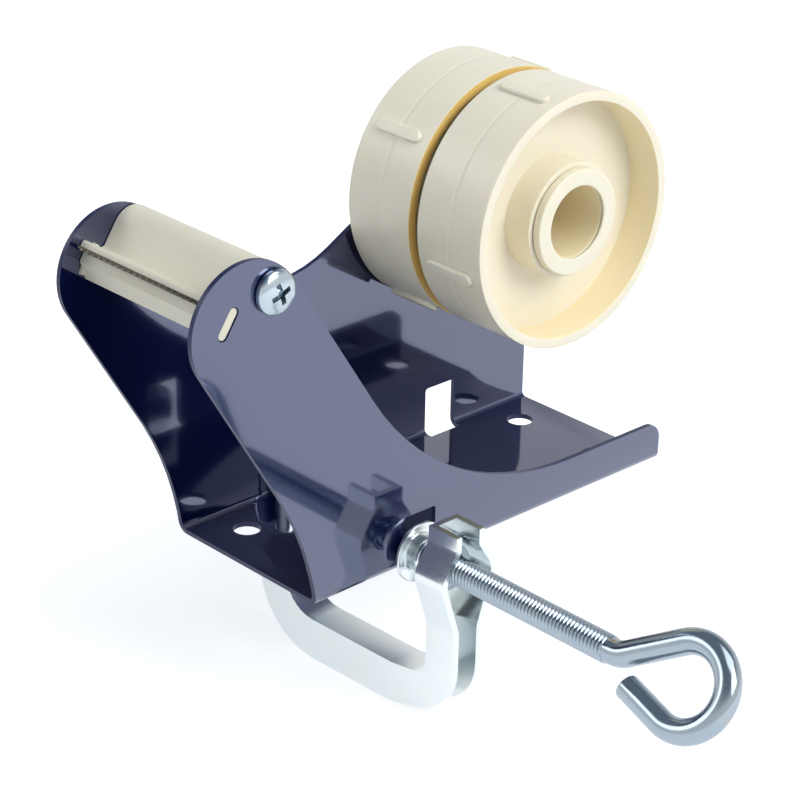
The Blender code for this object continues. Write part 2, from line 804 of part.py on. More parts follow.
def make_pad(look):
    face = pad_face_y - ball_y
    rim = pad_rim_y - ball_y
    hub = pad_hub_y - ball_y
    drop = pad_sheet
    profile = [(0.0, face), (pad_flat_radius, face), (pad_radius, rim + drop), (pad_radius, rim),
               (pad_flat_radius, face - drop), (pad_hub_radius, face - drop), (pad_hub_radius, hub),
               (pad_hub_bore_radius, hub), (pad_hub_bore_radius, face - drop), (0.0, face - drop)]
    return turned("clamp_pad", profile, along_y((clamp_x, ball_y, screw_z)), look, steps=36)


def set_origin(item, point):
    """Move an object's origin without moving its shape."""
    shift = Matrix.Translation(Vector(point))
    item.data.transform(shift.inverted() @ item.matrix_world)
    item.matrix_world = shift


def shade(look_angle=math.radians(35.0)):
    for item in parts.objects:
        if any(change.type == "SCREW" for change in item.modifiers):
            continue
        item.data.shade_smooth()
        item.data.set_sharp_from_angle(angle=look_angle)


def main():
    clear_scene()
    make_collections()
    navy = material("navy_enamel", (0.006, 0.010, 0.045), 0.18, 0.0)
    cream = material("cream_plastic", (0.78, 0.73, 0.60), 0.38, 0.0)
    cream_holder = material("cream_holder_plastic", (0.76, 0.72, 0.58), 0.42, 0.0)
    blade_steel = material("blade_steel", (0.10, 0.10, 0.11), 0.35, 1.0)
    zinc = material("zinc_plate", (0.72, 0.76, 0.79), 0.25, 1.0)
    rod_zinc = material("rod_zinc_plate", (0.66, 0.70, 0.74), 0.28, 1.0)
    make_frame(navy)
    make_cutter_holder(cream_holder)
    make_blade(blade_steel)
    make_holder_screws(zinc)
    make_spindle(cream)
    make_spindle_cap(cream)
    make_spindle_screw(zinc)
    make_hub_half("hub_half_near", -1.0, near_rib_angle, cream)
    make_hub_half("hub_half_far", 1.0, far_rib_angle, cream)
    make_pin(zinc)
    make_bow(zinc)
    make_nut(rod_zinc)
    make_screw(rod_zinc)
    make_ball(rod_zinc)
    make_pad(zinc)
    shade()


main()
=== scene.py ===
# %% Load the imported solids
import math

import bmesh
import bpy
from mathutils import Matrix, Vector


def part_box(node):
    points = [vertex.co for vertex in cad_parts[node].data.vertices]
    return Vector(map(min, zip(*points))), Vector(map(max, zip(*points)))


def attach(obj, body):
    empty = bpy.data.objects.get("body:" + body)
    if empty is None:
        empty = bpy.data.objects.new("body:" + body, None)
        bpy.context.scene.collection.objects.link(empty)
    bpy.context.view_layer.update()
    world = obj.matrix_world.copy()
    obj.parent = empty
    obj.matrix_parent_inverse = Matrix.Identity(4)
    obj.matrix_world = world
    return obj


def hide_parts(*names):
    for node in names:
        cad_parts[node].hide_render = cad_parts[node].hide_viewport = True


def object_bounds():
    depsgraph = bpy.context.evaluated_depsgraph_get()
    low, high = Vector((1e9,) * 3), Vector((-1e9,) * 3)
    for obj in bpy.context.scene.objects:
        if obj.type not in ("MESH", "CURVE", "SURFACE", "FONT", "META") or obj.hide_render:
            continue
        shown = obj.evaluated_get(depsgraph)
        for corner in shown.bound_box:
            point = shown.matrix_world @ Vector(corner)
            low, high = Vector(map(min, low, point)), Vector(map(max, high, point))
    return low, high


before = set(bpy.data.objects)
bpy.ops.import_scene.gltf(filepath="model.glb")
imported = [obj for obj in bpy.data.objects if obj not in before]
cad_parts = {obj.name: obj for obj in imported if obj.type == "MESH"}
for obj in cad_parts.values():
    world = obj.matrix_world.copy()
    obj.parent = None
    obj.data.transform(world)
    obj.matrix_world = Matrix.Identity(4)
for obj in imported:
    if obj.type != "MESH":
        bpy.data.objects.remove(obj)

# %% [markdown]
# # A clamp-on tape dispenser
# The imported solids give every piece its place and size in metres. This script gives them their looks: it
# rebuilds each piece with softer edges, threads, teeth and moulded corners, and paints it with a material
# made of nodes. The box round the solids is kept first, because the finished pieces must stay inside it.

solid_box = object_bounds()
mm = 0.001
weld = 0.002 * mm
bump_height = 0.02 * mm
print("solids span", [round((high - low) / mm, 1) for low, high in zip(*solid_box)], "mm")

# %% [markdown]
# ## Colours
# Colours are written as they look on a screen, in sRGB hex. Shaders count light in linear steps, so one
# function turns a hex value into a linear colour.


# %% Turn a screen colour into light
def shade(hex_code):
    """Linear colour with full alpha from an sRGB hex code."""
    screen = [int(hex_code[start:start + 2], 16) / 255.0 for start in (1, 3, 5)]
    light = [c / 12.92 if c <= 0.04045 else ((c + 0.055) / 1.055) ** 2.4 for c in screen]
    return (*light, 1.0)


print("cream", [round(c, 3) for c in shade("#E9E3D0")])


# %% [markdown]
# ## Nodes
# A material is a small network. One function sets a node's inputs and wires them, and another adds a node
# and does the same for it. Every material below is written with these two. Some sockets of a node share
# one name, so they are told by their number.


# %% Add one node
def feed(made, values=None, links=None):
    """Set some of a node's inputs to values, and wire others to the outputs that feed them."""
    for socket, value in (values or {}).items():
        made.inputs[socket].default_value = value
    for socket, source in (links or {}).items():
        made.id_data.links.new(source, made.inputs[socket])
    return made


def node(tree, kind, settings=None, values=None, links=None):
    """One new node with its settings, its input values and the outputs that feed it."""
    made = tree.nodes.new(kind)
    for name, value in (settings or {}).items():
        setattr(made, name, value)
    return feed(made, values, links)


def blank(name):
    """A new material, its tree, its shader and its object coordinates."""
    look = bpy.data.materials.new(name)
    look.use_nodes = True
    tree = look.node_tree
    place = node(tree, "ShaderNodeTexCoord").outputs["Object"]
    return look, tree, tree.nodes["Principled BSDF"], place


colours = {"data_type": "RGBA"}
share, tint_a, tint_b, mixed = 0, 6, 7, 2
from_low, from_high, to_low, to_high = 1, 2, 3, 4
print("a mix takes its tints in sockets", tint_a, "and", tint_b)


# %% [markdown]
# ## Stove enamel on steel
# The frame is dipped or sprayed with a navy enamel and baked. Enamel is a clear binder full of pigment,
# so it is dark and blue where it looks into itself and shiny on top. Light that bounces off its blue
# pigment just under the top comes back lilac, which the tint of the lower reflection stands for. It flows
# while it bakes and keeps a faint orange peel, about 2 mm from bump to bump, which is what makes straight
# reflections tremble. A few dust specks bake in with it. It creeps away from the cut edges and stays thin
# there, so they are duller and darker.


# %% Enamel
cloud_size = 30.0 * mm
dust_spacing = 7.0 * mm
dust_share = 0.022
peel_size = 2.0 * mm
edge_cloud_size = 6.0 * mm


def stove_enamel():
    """Glossy navy enamel with cloudy tone, dust specks and orange peel."""
    look, tree, shader, place = blank("stove_enamel")
    cloud = node(tree, "ShaderNodeTexNoise", values={"Scale": 1.0 / cloud_size, "Detail": 2.0},
                 links={"Vector": place})
    tone = node(tree, "ShaderNodeMix", colours, {tint_a: shade("#060D2C"), tint_b: shade("#0A1236")},
                {share: cloud.outputs["Fac"]})
    dust = node(tree, "ShaderNodeTexVoronoi", values={"Scale": 1.0 / dust_spacing}, links={"Vector": place})
    speck = node(tree, "ShaderNodeMath", {"operation": "LESS_THAN"}, {1: dust_share},
                 {0: dust.outputs["Distance"]})
    dusty = node(tree, "ShaderNodeMix", colours, {tint_b: shade("#8E93B4")},
                 {share: speck.outputs[0], tint_a: tone.outputs[mixed]})
    peel = node(tree, "ShaderNodeTexNoise", values={"Scale": 1.0 / peel_size, "Detail": 1.0},
                links={"Vector": place})
    bump = node(tree, "ShaderNodeBump", values={"Strength": 0.10, "Distance": bump_height},
                links={"Height": peel.outputs["Fac"]})
    haze = node(tree, "ShaderNodeMapRange", values={to_low: 0.06, to_high: 0.11},
                links={0: cloud.outputs["Fac"]})
    feed(shader, {"IOR": 1.72, "Specular IOR Level": 1.0, "Specular Tint": (0.52, 0.58, 0.95, 1.0),
                  "Coat Weight": 1.0, "Coat IOR": 1.5, "Coat Roughness": 0.03},
         {"Base Color": dusty.outputs[mixed], "Roughness": haze.outputs[0],
          "Normal": bump.outputs["Normal"]})
    return look


def edge_enamel():
    """The same enamel where it is thin and dull, on the cut edges."""
    look, tree, shader, place = blank("thin_stove_enamel_on_cut_edge")
    cloud = node(tree, "ShaderNodeTexNoise", values={"Scale": 1.0 / edge_cloud_size, "Detail": 2.0},
                 links={"Vector": place})
    tone = node(tree, "ShaderNodeMix", colours, {tint_a: shade("#101842"), tint_b: shade("#1B2350")},
                {share: cloud.outputs["Fac"]})
    haze = node(tree, "ShaderNodeMapRange", values={to_low: 0.30, to_high: 0.45},
                links={0: cloud.outputs["Fac"]})
    feed(shader, {"Specular IOR Level": 0.35},
         {"Base Color": tone.outputs[mixed], "Roughness": haze.outputs[0]})
    return look


enamel = stove_enamel()
rim_enamel = edge_enamel()
print("made", enamel.name, rim_enamel.name)


# %% [markdown]
# ## Moulded ABS
# The hub, the spindle and the cutter holder are moulded in cream ABS, an opaque and slightly waxy
# plastic. The tool's surface is finely spark eroded, so the gloss is broken by a grain of about 0.4 mm.
# Light goes a little way in and comes out warmer. The golden glow in narrow places is painted shade: walls
# that look at each other take a warmer tone of the same plastic, and the narrow gap between the hub halves
# takes the warmest, a painted golden shade.


# %% ABS
flow_size = 14.0 * mm
erosion_size = 0.4 * mm
glow_depth = 2.0 * mm


def moulded_abs(name, pale, deep, gloss):
    """Plastic that drifts between a pale and a deep tone. Gloss is its lowest roughness."""
    look, tree, shader, place = blank(name)
    flow = node(tree, "ShaderNodeTexNoise", values={"Scale": 1.0 / flow_size, "Detail": 3.0},
                links={"Vector": place})
    tone = node(tree, "ShaderNodeMix", colours, {tint_a: shade(pale), tint_b: shade(deep)},
                {share: flow.outputs["Fac"]})
    grain = node(tree, "ShaderNodeTexNoise", values={"Scale": 1.0 / erosion_size, "Detail": 2.0},
                 links={"Vector": place})
    bump = node(tree, "ShaderNodeBump", values={"Strength": 0.12, "Distance": bump_height},
                links={"Height": grain.outputs["Fac"]})
    sheen = node(tree, "ShaderNodeMapRange", values={to_low: gloss, to_high: gloss + 0.10},
                 links={0: flow.outputs["Fac"]})
    feed(shader, {"IOR": 1.54, "Subsurface Weight": 0.25, "Subsurface Radius": (1.0, 0.62, 0.25),
                  "Subsurface Scale": glow_depth},
         {"Base Color": tone.outputs[mixed], "Roughness": sheen.outputs[0],
          "Normal": bump.outputs["Normal"]})
    return look


hub_abs = moulded_abs("cream_hub_abs", "#F1EAD6", "#EBE2CA", 0.30)
# The next two materials are painted shade: a warm tone for walls that face each other, a golden one for the
# gap.
warm_shade_abs = moulded_abs("cream_hub_abs_painted_shade_on_inner_walls", "#FAECC9", "#F3E3BA", 0.30)
gap_shade_abs = moulded_abs("cream_hub_abs_painted_golden_shade_in_gap", "#F4D384", "#ECC772", 0.30)
holder_abs = moulded_abs("cream_holder_abs", "#E1DBC8", "#D8D1BB", 0.38)
print("made", hub_abs.name, warm_shade_abs.name, gap_shade_abs.name, holder_abs.name)


# %% [markdown]
# ## Bright zinc plate
# The clamp and its screws are steel with electroplated zinc, dipped in a blue passivate. It is a metal,
# so its colour is in its reflection: nearly white with a cold tint, warmer where the film is thicker, and
# greyer on the rod and the screw heads. Plating is grainy at about 0.3 mm and the bath leaves soft
# streaks, so roughness wanders.


# %% Zinc
bath_cloud_size = 9.0 * mm
streak_size = 0.8 * mm
crystal_size = 0.3 * mm


def zinc_plate(name, cold, warm, gloss, stretch):
    """Zinc that drifts between two tones, with streaks that a stretch below 1 draws out along that axis."""
    look, tree, shader, place = blank(name)
    bath = node(tree, "ShaderNodeTexNoise", values={"Scale": 1.0 / bath_cloud_size, "Detail": 2.0},
                links={"Vector": place})
    tint = node(tree, "ShaderNodeMix", colours, {tint_a: shade(cold), tint_b: shade(warm)},
                {share: bath.outputs["Fac"]})
    drawn = node(tree, "ShaderNodeMapping", values={"Scale": stretch}, links={"Vector": place})
    streak = node(tree, "ShaderNodeTexNoise", values={"Scale": 1.0 / streak_size, "Detail": 2.0},
                  links={"Vector": drawn.outputs[0]})
    grain = node(tree, "ShaderNodeTexNoise", values={"Scale": 1.0 / crystal_size, "Detail": 2.0},
                 links={"Vector": place})
    bump = node(tree, "ShaderNodeBump", values={"Strength": 0.08, "Distance": bump_height},
                links={"Height": grain.outputs["Fac"]})
    haze = node(tree, "ShaderNodeMapRange", values={to_low: gloss, to_high: gloss + 0.12},
                links={0: streak.outputs["Fac"]})
    feed(shader, {"Metallic": 1.0},
         {"Base Color": tint.outputs[mixed], "Roughness": haze.outputs[0],
          "Normal": bump.outputs["Normal"]})
    return look


even = (1.0, 1.0, 1.0)
screw_zinc = zinc_plate("bright_zinc_on_screw_heads", "#A9B8C4", "#BBC4C9", 0.14, even)
pressed_zinc = zinc_plate("bright_zinc_on_pressed_steel", "#DCE6EC", "#E4E6E2", 0.14, even)
rod_zinc = zinc_plate("bright_zinc_on_rolled_rod", "#93A2B0", "#A6AEB4", 0.12, (1.0, 0.15, 1.0))
print("made", screw_zinc.name, pressed_zinc.name, rod_zinc.name)


# %% [markdown]
# ## Blade steel
# The cutter is a strip of hardened spring steel. Tempering leaves it dark, and it was ground across its
# width, so fine lines run out towards the teeth, about 0.15 mm apart.


# %% Blade steel
grinding_line = 0.15 * mm


def spring_steel():
    """Dark steel with grinding lines that run out to the teeth."""
    look, tree, shader, place = blank("tempered_spring_steel")
    ground = node(tree, "ShaderNodeMapping", values={"Scale": (0.1, 1.0, 0.1)}, links={"Vector": place})
    lines = node(tree, "ShaderNodeTexNoise", values={"Scale": 1.0 / grinding_line, "Detail": 1.0},
                 links={"Vector": ground.outputs[0]})
    tone = node(tree, "ShaderNodeMix", colours, {tint_a: shade("#4A463F"), tint_b: shade("#8F8A7F")},
                {share: lines.outputs["Fac"]})
    haze = node(tree, "ShaderNodeMapRange", values={to_low: 0.28, to_high: 0.42},
                links={0: lines.outputs["Fac"]})
    feed(shader, {"Metallic": 1.0}, {"Base Color": tone.outputs[mixed], "Roughness": haze.outputs[0]})
    return look


blade_steel = spring_steel()
print("made", blade_steel.name)


# %% [markdown]
# ## From mesh to piece
# Every piece ends the same way: doubles are merged, the faces are turned outwards, soft shading stops at
# sharp edges, the piece is tied to the body that it moves with, and the solid that it stands for is hidden.


# %% Finish a piece
def piece_from(cage, name, look, body, solids, crease=35.0):
    """A bmesh becomes an object that rides on its body in place of the solids."""
    bmesh.ops.remove_doubles(cage, verts=cage.verts, dist=weld)
    bmesh.ops.recalc_face_normals(cage, faces=cage.faces)
    data = bpy.data.meshes.new(name)
    cage.to_mesh(data)
    cage.free()
    data.shade_smooth()
    data.set_sharp_from_angle(angle=math.radians(crease))
    data.materials.append(look)
    piece = bpy.data.objects.new(name, data)
    bpy.context.scene.collection.objects.link(piece)
    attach(piece, body)
    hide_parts(*solids)
    print(name, len(data.polygons), "faces")
    return piece


def sharp_edges(cage, least=40.0):
    """Edges whose two faces meet at more than this many degrees."""
    limit = math.radians(least)
    return [e for e in cage.edges if len(e.link_faces) == 2 and e.calc_face_angle() > limit]


def soften(cage, edges, width, segments=3):
    """Round edges over with a bevel of this width."""
    bmesh.ops.bevel(cage, geom=edges, offset=width, offset_type="OFFSET", segments=segments, profile=0.5,
                    affect="EDGES", clamp_overlap=True, material=-1)


# %% [markdown]
# ## Sheet metal and the cutter holder
# The folded channel already has its true outline in the solids, so a welded copy of it is kept. A fresh
# solid has razor edges, and real sheet has a rolled edge where the punch went in and paint crept round
# it. A Bevel modifier makes that roll, with hardened normals so that the flat plates stay flat mirrors.
# The cut edges and their roll take the thin enamel.

# %% Sizes of the rounds
sheet_round = 0.72 * mm
moulding_round = 0.25 * mm
cut_from_z = 3.0 * mm
print("the sheet's edge is rolled by", round(sheet_round / mm, 2), "mm")


# %% Copy a solid and round its edges
def welded_copy(solid):
    """A solid's triangles, merged, with its flat faces made whole again."""
    cage = bmesh.new()
    cage.from_mesh(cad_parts[solid].data)
    bmesh.ops.remove_doubles(cage, verts=cage.verts, dist=weld)
    bmesh.ops.dissolve_limit(cage, angle_limit=math.radians(1.0), verts=cage.verts, edges=cage.edges)
    return cage


def roll_edges(piece, width, segments, least=50.0, material=-1):
    """A Bevel modifier on the sharp edges that keeps flat faces flat."""
    roll = piece.modifiers.new("Rolled edge", "BEVEL")
    roll.width = width
    roll.segments = segments
    roll.limit_method = "ANGLE"
    roll.angle_limit = math.radians(least)
    roll.harden_normals = True
    roll.material = material


def cut_edges(cage):
    """The second material goes on cut edges. They face along X, or up and down in the side plates."""
    cage.normal_update()
    for face in cage.faces:
        above = face.calc_center_median().z > cut_from_z
        cut = abs(face.normal.x) > 0.05 or (above and abs(face.normal.z) > 0.9)
        face.material_index = 1 if cut else 0
    return cage


channel = piece_from(cut_edges(welded_copy("frame")), "channel", enamel, "frame", ["frame"])
channel.data.materials.append(rim_enamel)
roll_edges(channel, sheet_round, 5, material=1)
holder = piece_from(welded_copy("cutter_holder"), "holder", holder_abs, "frame",
                    ["cutter_holder"])
roll_edges(holder, moulding_round, 3)


# %% [markdown]
# ## Turned and moulded rounds
# The hub, the spindle, the pin and the pad are round. Each is half a cross section, a chain of points at
# their radius and height, spun once round its axis. The axis runs along Y, as the hub's does, or along Z.


# %% Spin a profile
def braced(profile, closed, reach):
    """The profile with a point beside each end of a long side, which keeps soft shading at the corners."""
    pairs = zip(profile, profile[1:] + profile[:1]) if closed else zip(profile, profile[1:])
    chain = []
    for start, end in pairs:
        start, end = Vector(start), Vector(end)
        way = end - start
        chain.append(start)
        if way.length > 3.0 * reach:
            chain.append(start + way.normalized() * reach)
            chain.append(end - way.normalized() * reach)
    return chain if closed else chain + [Vector(profile[-1])]


def spun(cage, profile, centre, axis, steps, closed=False, reach=1.1 * mm):
    """Spin points (radius, height) round an axis. A closed profile's last point joins its first."""
    profile = braced(profile, closed, reach)
    axis = Vector(axis)
    side = Vector((1.0, 0.0, 0.0))
    chain = [cage.verts.new(Vector(centre) + side * radius + axis * height) for radius, height in profile]
    ends = chain[1:] + chain[:1] if closed else chain[1:]
    edges = [cage.edges.new(pair) for pair in zip(chain, ends)]
    bmesh.ops.spin(cage, geom=chain + edges, cent=centre, axis=axis, dvec=(0.0, 0.0, 0.0),
                   angle=math.tau, steps=steps, use_merge=True, use_normal_flip=False, use_duplicate=False)
    bmesh.ops.remove_doubles(cage, verts=cage.verts, dist=weld)
    bmesh.ops.recalc_face_normals(cage, faces=cage.faces)


along_y = (0.0, 1.0, 0.0)
along_z = (0.0, 0.0, 1.0)


# %% [markdown]
# ## Hub halves
# Each half is a drum with a web across its middle, a sleeve that turns on the spindle, and four ribs that
# grip the paper core of the roll. The two halves of the mould met half way along the drum, which leaves a
# hairline round it. The ribs are blocks whose ends and top edges are rounded with two bevels.


# %% Hub sizes, read from the solids where they show
def middle_of(solid):
    """The middle of a solid's box."""
    low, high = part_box(solid)
    return (low + high) / 2.0


hub_axis = middle_of("spindle")
drum_radius = 36.9 * mm
drum_wall = 2.8 * mm
drum_width = 24.3 * mm
web_thickness = 2.5 * mm
sleeve_radius = 16.5 * mm
sleeve_bore = 13.3 * mm
sleeve_outer_end = 10.4 * mm
sleeve_inner_end = 13.8 * mm
rib_length = 17.3 * mm
rib_width = 3.5 * mm
rib_root = 35.8 * mm
rib_top = 38.2 * mm
rib_round = 1.3 * mm
part_line = 0.05 * mm
drum_round = 0.7 * mm
print("hub axis at", [round(v / mm, 2) for v in hub_axis])


# %% One rib
def rib_mesh():
    """A block along X with round ends and a soft top, its root at Z zero."""
    cage = bmesh.new()
    height = rib_top - rib_root
    size = Matrix.Diagonal((rib_length, rib_width, height, 1.0))
    bmesh.ops.create_cube(cage, size=1.0, matrix=Matrix.Translation((0.0, 0.0, height / 2.0)) @ size)
    upright = [e for e in cage.edges if abs(e.verts[0].co.z - e.verts[1].co.z) > height / 2.0]
    soften(cage, upright, rib_width * 0.49, 6)
    top = [e for e in sharp_edges(cage, 60.0) if min(v.co.z for v in e.verts) > height / 2.0]
    soften(cage, top, rib_round, 5)
    data = bpy.data.meshes.new("rib")
    cage.to_mesh(data)
    cage.free()
    return data


rib = rib_mesh()
print("rib", len(rib.polygons), "faces")


# %% Faces that take painted shade
def paint_shade_inside(cage, centre, gap_side):
    """Painted shade: the second material, a warmer tone, goes on walls that look at the axis, the third, a
    golden tone, on the rim beside the gap.
    """
    rim_from = drum_width / 2.0 - 1.0 * mm
    for face in cage.faces:
        away = face.calc_center_median() - Vector(centre)
        outward = Vector((away.x, 0.0, away.z)).normalized()
        beside = gap_side * face.normal.y > 0.5 and gap_side * away.y > rim_from
        face.material_index = 2 if beside else 1 if face.normal.dot(outward) < -0.5 else 0


# %% Both halves
def hub_half(name, middle_y, side, first_angle, body, solid):
    """Side is +1 where the sleeve's long end looks along +Y."""
    outer = drum_radius - drum_wall
    half = drum_width / 2.0
    web = web_thickness / 2.0
    profile = [(drum_radius, half), (drum_radius, part_line), (drum_radius - part_line, 0.0),
               (drum_radius, -part_line), (drum_radius, -half), (outer, -half), (outer, -web),
               (sleeve_radius, -web), (sleeve_radius, -sleeve_outer_end), (sleeve_bore, -sleeve_outer_end),
               (sleeve_bore, sleeve_inner_end), (sleeve_radius, sleeve_inner_end), (sleeve_radius, web),
               (outer, web), (outer, half)]
    centre = Vector((hub_axis.x, middle_y, hub_axis.z))
    cage = bmesh.new()
    spun(cage, [(radius, side * height) for radius, height in profile], centre, along_y, 144, closed=True)
    soften(cage, sharp_edges(cage, 60.0), drum_round, 4)
    paint_shade_inside(cage, centre, side)
    for number in range(4):
        angle = first_angle + number * math.tau / 4.0
        outward = Vector((math.cos(angle), 0.0, math.sin(angle)))
        length = Vector((0.0, 1.0, 0.0))
        stand = Matrix((length, outward.cross(length), outward)).transposed().to_4x4()
        stand.translation = centre + outward * rib_root
        copy = rib.copy()
        copy.transform(stand)
        cage.from_mesh(copy)
    piece = piece_from(cage, name, hub_abs, body, [solid])
    # The warmer materials are painted shade on the inner walls and beside the gap.
    piece.data.materials.append(warm_shade_abs)
    piece.data.materials.append(gap_shade_abs)


near_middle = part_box("hub_half_near")[0].y + drum_width / 2.0
far_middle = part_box("hub_half_far")[1].y - drum_width / 2.0
hub_half("hub_near", near_middle, 1.0, math.radians(104.5), "hub_near", "hub_half_near")
hub_half("hub_far", far_middle, -1.0, math.radians(143.0), "hub_far", "hub_half_far")

# %% [markdown]
# ## Spindle and cap
# The spindle is a hollow post on the far plate. A ring with a flat, polished face is pressed on its near
# end and keeps the hub on. Both are spun, and their rims get a small round.

# %% Spindle
spindle_low, spindle_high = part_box("spindle")
spindle_radius = 13.0 * mm
spindle_bore = 10.5 * mm
flange_radius = 15.25 * mm
neck_radius = 12.0 * mm
neck_length = spindle_low.y + 1.6 * mm
flange_y = spindle_high.y - 2.8 * mm
bore_floor = 20.0 * mm
spindle_round = 0.25 * mm
axis_point = (hub_axis.x, 0.0, hub_axis.z)

cage = bmesh.new()
spun(cage, [(0.0, spindle_high.y), (flange_radius, spindle_high.y), (flange_radius, flange_y),
            (spindle_radius, flange_y), (spindle_radius, neck_length), (neck_radius, neck_length),
            (neck_radius, spindle_low.y), (spindle_bore, spindle_low.y), (spindle_bore, bore_floor),
            (0.0, bore_floor)], axis_point, along_y, 96)
soften(cage, sharp_edges(cage, 60.0), spindle_round, 3)
# The spindle's bore takes the warmer material, a painted shade.
paint_shade_inside(cage, axis_point, 0.0)
post = piece_from(cage, "spindle_post", hub_abs, "frame", ["spindle"])
post.data.materials.append(warm_shade_abs)

# %% Cap ring
cap_low, cap_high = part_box("spindle_cap")
seat_radius = 12.3 * mm
seat_y = cap_low.y + 0.9 * mm
cap_round = 0.35 * mm

cage = bmesh.new()
spun(cage, [(flange_radius, cap_high.y), (flange_radius, cap_low.y), (spindle_bore, cap_low.y),
            (spindle_bore, seat_y), (seat_radius, seat_y), (seat_radius, cap_high.y)],
     axis_point, along_y, 96, closed=True)
soften(cage, sharp_edges(cage, 60.0), cap_round, 3)
piece_from(cage, "cap_ring", hub_abs, "frame", ["spindle_cap"])


# %% [markdown]
# ## Screws
# The heads are pan heads, pressed with a cross. The head is spun, and a tapered plug with the outline of
# the cross is cut out of it with a Boolean, because a pressed recess is a clean hole with sloping walls.


# %% Cut one mesh with another
def carved(cage, cutter):
    """The first bmesh less the second, by an exact Boolean."""
    holders = []
    for part in (cage, cutter):
        data = bpy.data.meshes.new("carving")
        part.to_mesh(data)
        part.free()
        holders.append(bpy.data.objects.new("carving", data))
        bpy.context.scene.collection.objects.link(holders[-1])
    cut = holders[0].modifiers.new("Cut", "BOOLEAN")
    cut.object = holders[1]
    cut.solver = "EXACT"
    bpy.context.view_layer.update()
    drawn = holders[0].evaluated_get(bpy.context.evaluated_depsgraph_get())
    result = bmesh.new()
    result.from_mesh(drawn.to_mesh())
    for item in holders:
        bpy.data.objects.remove(item, do_unlink=True)
    return result


# %% Pan head screws
head_radius = 6.0 * mm
head_height = 3.2 * mm
rim_height = 1.1 * mm
foot_round = 0.25 * mm
shank_radius = 1.8 * mm
cross_length = 6.4 * mm
cross_width = 1.5 * mm
cross_depth = 2.4 * mm
cross_turn = math.radians(20.0)
foot_share = 0.7
mouth_share = 1.3


def cross_cutter(stand):
    """A cross shaped plug, narrower below, whose foot stops at the recess floor."""
    cage = bmesh.new()
    along, across = cross_length / 2.0, cross_width / 2.0
    quarter = [(along, -across), (along, across), (across, across)]
    outline = []
    for turn in range(4):
        spin = Matrix.Rotation(turn * math.tau / 4.0, 2)
        outline += [spin @ Vector(point) for point in quarter]
    low = head_height - cross_depth
    foot = cage.faces.new([cage.verts.new((x * foot_share, y * foot_share, low)) for x, y in outline])
    top = bmesh.ops.extrude_face_region(cage, geom=[foot])["geom"]
    for vert, (x, y) in zip([g for g in top if isinstance(g, bmesh.types.BMVert)], outline):
        vert.co = Vector((x * mouth_share, y * mouth_share, head_height + cross_depth))
    bmesh.ops.recalc_face_normals(cage, faces=cage.faces)
    bmesh.ops.transform(cage, matrix=stand @ Matrix.Rotation(cross_turn, 4, "Z"), verts=cage.verts)
    return cage


def pan_screw(name, solid, face_y, side):
    """Side is -1 for a head that looks to -Y."""
    low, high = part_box(solid)
    centre = (low + high) / 2.0
    length = (high.y - low.y) - head_height
    base = Vector((centre.x, face_y, centre.z))
    dome = [(head_radius * math.sin(math.radians(a)),
             rim_height + (head_height - rim_height) * math.cos(math.radians(a))) for a in range(0, 91, 6)]
    profile = dome + [(head_radius, foot_round), (head_radius - foot_round, 0.0), (shank_radius, 0.0),
                      (shank_radius, -length), (0.0, -length)]
    cage = bmesh.new()
    spun(cage, profile, base, Vector((0.0, side, 0.0)), 72)
    up = Vector((0.0, side, 0.0))
    across = Vector((side, 0.0, 0.0))
    stand = Matrix((across, up.cross(across), up)).transposed().to_4x4()
    stand.translation = base
    piece_from(carved(cage, cross_cutter(stand)), name, screw_zinc, "frame", [solid])


pan_screw("near_holder_screw", "holder_screw_near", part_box("holder_screw_near")[0].y + head_height, -1.0)
pan_screw("far_holder_screw", "holder_screw_far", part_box("holder_screw_far")[1].y - head_height, 1.0)
pan_screw("axle_screw", "spindle_screw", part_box("spindle_screw")[1].y - head_height, 1.0)

# %% [markdown]
# ## Cutter blade
# The blade is a flat strip with a saw edge. A grid gives the strip, and every other point of its free
# edge is pulled back to make the teeth. Every tooth leans the other way than the one before it, as saws
# are set, and the strip is then given its half millimetre of steel.

# %% Blade
down_front = Vector((-0.55, 0.0, -0.835)).normalized()
out_front = Vector((down_front.z, 0.0, -down_front.x))
holder_boss = Vector((-82.6 * mm, 0.0, 95.3 * mm))
blade_middle = 10.55 * mm
blade_root = 5.8 * mm
blade_tip = 15.8 * mm
tooth_depth = 1.3 * mm
tooth_count = 43
tooth_set = 0.25 * mm
blade_steel_depth = 0.5 * mm
blade_low, blade_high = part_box("cutter_blade")
blade_length = blade_high.y - blade_low.y

cage = bmesh.new()
bmesh.ops.create_grid(cage, x_segments=2 * tooth_count, y_segments=1, size=0.5)
ordered = sorted((v for v in cage.verts if v.co.y > 0.0), key=lambda v: v.co.x)
valleys = ordered[::2]
for vert in cage.verts:
    reach = blade_tip if vert.co.y > 0.0 else blade_root
    vert.co = Vector((vert.co.x * blade_length, reach, 0.0))
for vert in valleys:
    vert.co.y -= tooth_depth
for number, vert in enumerate(ordered[1::2]):
    vert.co.z += tooth_set if number % 2 else -tooth_set
stand = Matrix((Vector((0.0, 1.0, 0.0)), out_front, down_front)).transposed().to_4x4()
stand.translation = holder_boss + down_front * (blade_middle - blade_steel_depth / 2.0)
bmesh.ops.transform(cage, matrix=stand, verts=cage.verts)
bmesh.ops.recalc_face_normals(cage, faces=cage.faces)
bmesh.ops.solidify(cage, geom=cage.faces[:], thickness=blade_steel_depth)
piece_from(cage, "blade", blade_steel, "frame", ["cutter_blade"], 20.0)

# %% [markdown]
# ## Clamp pin
# The pin stands on the end of the clamp's far arm and goes up through the floor of the channel. It is
# turned steel with a chamfer on top and a headed tail that holds it to the arm.

# %% Pin
pin_low, pin_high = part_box("clamp_pin")
pin_axis = middle_of("clamp_pin")
pin_radius = (pin_high.x - pin_low.x) / 2.0
pin_chamfer = 0.7 * mm
tail_radius = 1.5 * mm
tail_head = 2.0 * mm
tail_top = pin_low.z + 1.4 * mm
pin_round = 0.25 * mm

